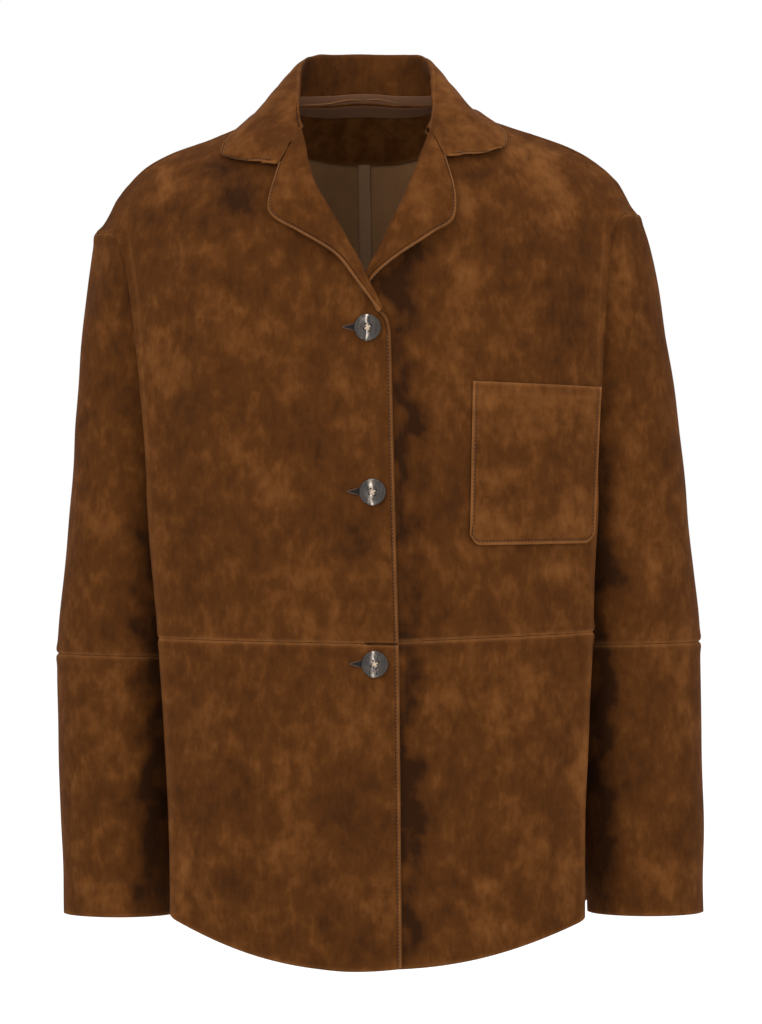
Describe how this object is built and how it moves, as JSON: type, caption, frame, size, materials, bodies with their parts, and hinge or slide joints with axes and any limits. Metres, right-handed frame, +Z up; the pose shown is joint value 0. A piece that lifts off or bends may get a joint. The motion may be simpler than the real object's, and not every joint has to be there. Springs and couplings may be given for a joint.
{
  "type": "suede jacket",
  "caption": "Oversize tobacco-brown suede shirt jacket, filled out with no wearer: notched collar, dark buttons, chest pocket and open hem.",
  "frame": {"origin": "the middle of the neck, where shoulders or a hanger hold the jacket", "axes": "+Z up, the front faces -Y, +X to the wearer's left"},
  "size_m": [0.5501, 0.2378, 0.7753],
  "materials": {
    "suede": "matte suede nap",
    "flesh_side": "matte flesh side",
    "neck_tape": "woven cotton",
    "horn": "dark horn-like resin"
  },
  "bodies": {
    "root": {"right_front_upper": "suede", "right_front_lower": "suede", "right_back_upper": "suede", "right_back_lower": "suede", "right_sleeve_upper": "suede", "right_sleeve_lower": "suede", "right_lapel": "suede", "left_front_upper": "suede", "left_front_lower": "suede", "left_back_upper": "suede", "left_back_lower": "suede", "left_sleeve_upper": "suede", "left_sleeve_lower": "suede", "left_lapel": "suede", "collar": "suede", "chest_pocket": "suede", "back_neck_facing": "suede", "button_top": "horn", "button_middle": "horn", "button_bottom": "horn", "neck_tape": "neck_tape", "back_seam_tape": "flesh_side"}
  },
  "joints": []
}
